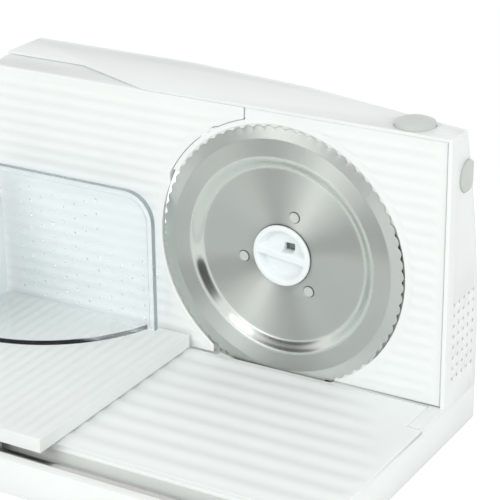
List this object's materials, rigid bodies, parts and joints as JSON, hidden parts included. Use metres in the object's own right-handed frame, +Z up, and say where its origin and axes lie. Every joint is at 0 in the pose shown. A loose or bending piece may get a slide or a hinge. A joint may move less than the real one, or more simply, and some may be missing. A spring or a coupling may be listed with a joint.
{
  "type": "electric food slicer",
  "caption": "Tabletop electric slicer: round toothed blade in a ribbed upright housing, stop plate with thickness dial, sliding food carriage with clear pusher, worm-driven blade.",
  "frame": {"origin": "centre of the overall box, on the surface that the feet stand on", "axes": "+X along the blade and the carriage's travel, towards the motor tower; +Y away from the person slicing, towards the back; +Z up"},
  "size_m": [0.3364, 0.2488, 0.2071],
  "materials": {
    "white_shell": "satin white moulded plastic",
    "white_table": "satin white moulded plastic with low ribs",
    "white_inner": "matt off-white plastic, out of sight",
    "grey_button": "light grey matt plastic",
    "grey_knob": "light grey matt plastic",
    "clear_guard": "clear moulded plastic, shown as glass",
    "grip_plastic": "satin white moulded plastic",
    "blade_steel": "turned and ground stainless steel",
    "bright_steel": "bright steel",
    "knob_plastic": "white moulded plastic",
    "gear_plastic": "natural moulded gear plastic",
    "bronze": "sintered bronze",
    "rubber": "matt dark rubber",
    "cast_alloy": "cast aluminium alloy",
    "motor_steel": "zinc-plated steel sheet",
    "magnet": "dark ferrite",
    "windings": "enamelled copper wire and steel core",
    "carbon": "matt black carbon",
    "fan_plastic": "matt black plastic",
    "switch_plastic": "matt black plastic",
    "board": "green board with parts on it",
    "spring_steel": "spring steel wire"
  },
  "bodies": {
    "housing": {"main_housing": "white_shell", "rear_cover": "white_shell", "housing_screws": "bright_steel", "front_panel": "white_shell", "base_frame": "white_shell", "bottom_plate": "white_inner", "base_screws": "bright_steel", "feet": "rubber", "lower_table": "white_table", "slide_rod": "bright_steel", "slide_frame": "white_inner", "guide_bushes": "bronze", "drive_frame": "cast_alloy", "blade_axle": "bright_steel", "axle_washer": "bright_steel", "shaft_bushes": "bronze", "motor_can": "motor_steel", "motor_magnets": "magnet", "motor_end_cap": "white_inner", "motor_screws": "bright_steel", "carbon_brushes": "carbon", "top_switch": "switch_plastic", "side_switch": "switch_plastic", "circuit_board": "board", "board_bracket": "white_inner", "cord_bush": "rubber", "top_button_spring": "spring_steel", "side_button_spring": "spring_steel"},
    "stop_plate": {"stop_plate": "white_shell", "guide_rods": "bright_steel", "cam_follower": "gear_plastic"},
    "dial": {"dial_cam": "gear_plastic", "thickness_dial": "grey_knob", "dial_screw": "bright_steel"},
    "blade": {"blade_disc": "blade_steel", "blade_rivets": "bright_steel", "blade_gear": "gear_plastic", "blade_bush": "bronze"},
    "blade_knob": {"blade_lock_knob": "knob_plastic"},
    "rotor": {"motor_shaft": "bright_steel", "motor_rotor": "windings", "worm": "bright_steel", "cooling_fan": "fan_plastic"},
    "carriage": {"carriage": "white_table", "carriage_runner": "white_inner"},
    "pusher": {"pusher": "clear_guard", "pusher_grip": "grip_plastic"},
    "top_button": {"top_button": "grey_button"},
    "side_button": {"side_button": "grey_button"}
  },
  "joints": [
    {"name": "motor_spin", "type": "hinge", "parent": "housing", "child": "rotor", "pos_m": [0.05275, 0.0796, 0.0634], "axis": [1, 0, 0], "continuous": true},
    {"name": "blade_spin", "type": "hinge", "parent": "housing", "child": "blade", "pos_m": [0.05275, 0.0716, 0.107], "axis": [0, 1, 0], "continuous": true},
    {"name": "knob_turn", "type": "hinge", "parent": "blade", "child": "blade_knob", "pos_m": [0.05275, 0.0556, 0.107], "axis": [0, 1, 0], "range_deg": [0, 90]},
    {"name": "stop_plate_slide", "type": "slide", "parent": "housing", "child": "stop_plate", "axis": [0, 1, 0], "range_m": [0, 0.015]},
    {"name": "dial_turn", "type": "hinge", "parent": "housing", "child": "dial", "pos_m": [-0.14325, 0.1116, 0.117], "axis": [0, 1, 0], "range_deg": [-300, 0]},
    {"name": "carriage_slide", "type": "slide", "parent": "housing", "child": "carriage", "axis": [1, 0, 0], "range_m": [0, 0.15]},
    {"name": "pusher_slide", "type": "slide", "parent": "carriage", "child": "pusher", "axis": [0, -1, 0], "range_m": [0, 0.06]},
    {"name": "top_button_press", "type": "slide", "parent": "housing", "child": "top_button", "axis": [0, 0, -1], "range_m": [0, 0.003], "stiffness_N_per_m": 300, "springref_m": -0.003, "deforming": ["top_button_spring"]},
    {"name": "side_button_press", "type": "slide", "parent": "housing", "child": "side_button", "axis": [-1, 0, 0], "range_m": [0, 0.003], "stiffness_N_per_m": 300, "springref_m": -0.003, "deforming": ["side_button_spring"]}
  ],
  "couplings": [
    {"joint": "blade_spin", "follows": "motor_spin", "ratio": 0.016667},
    {"joint": "dial_turn", "follows": "stop_plate_slide", "rad_per_m": -349.07}
  ]
}
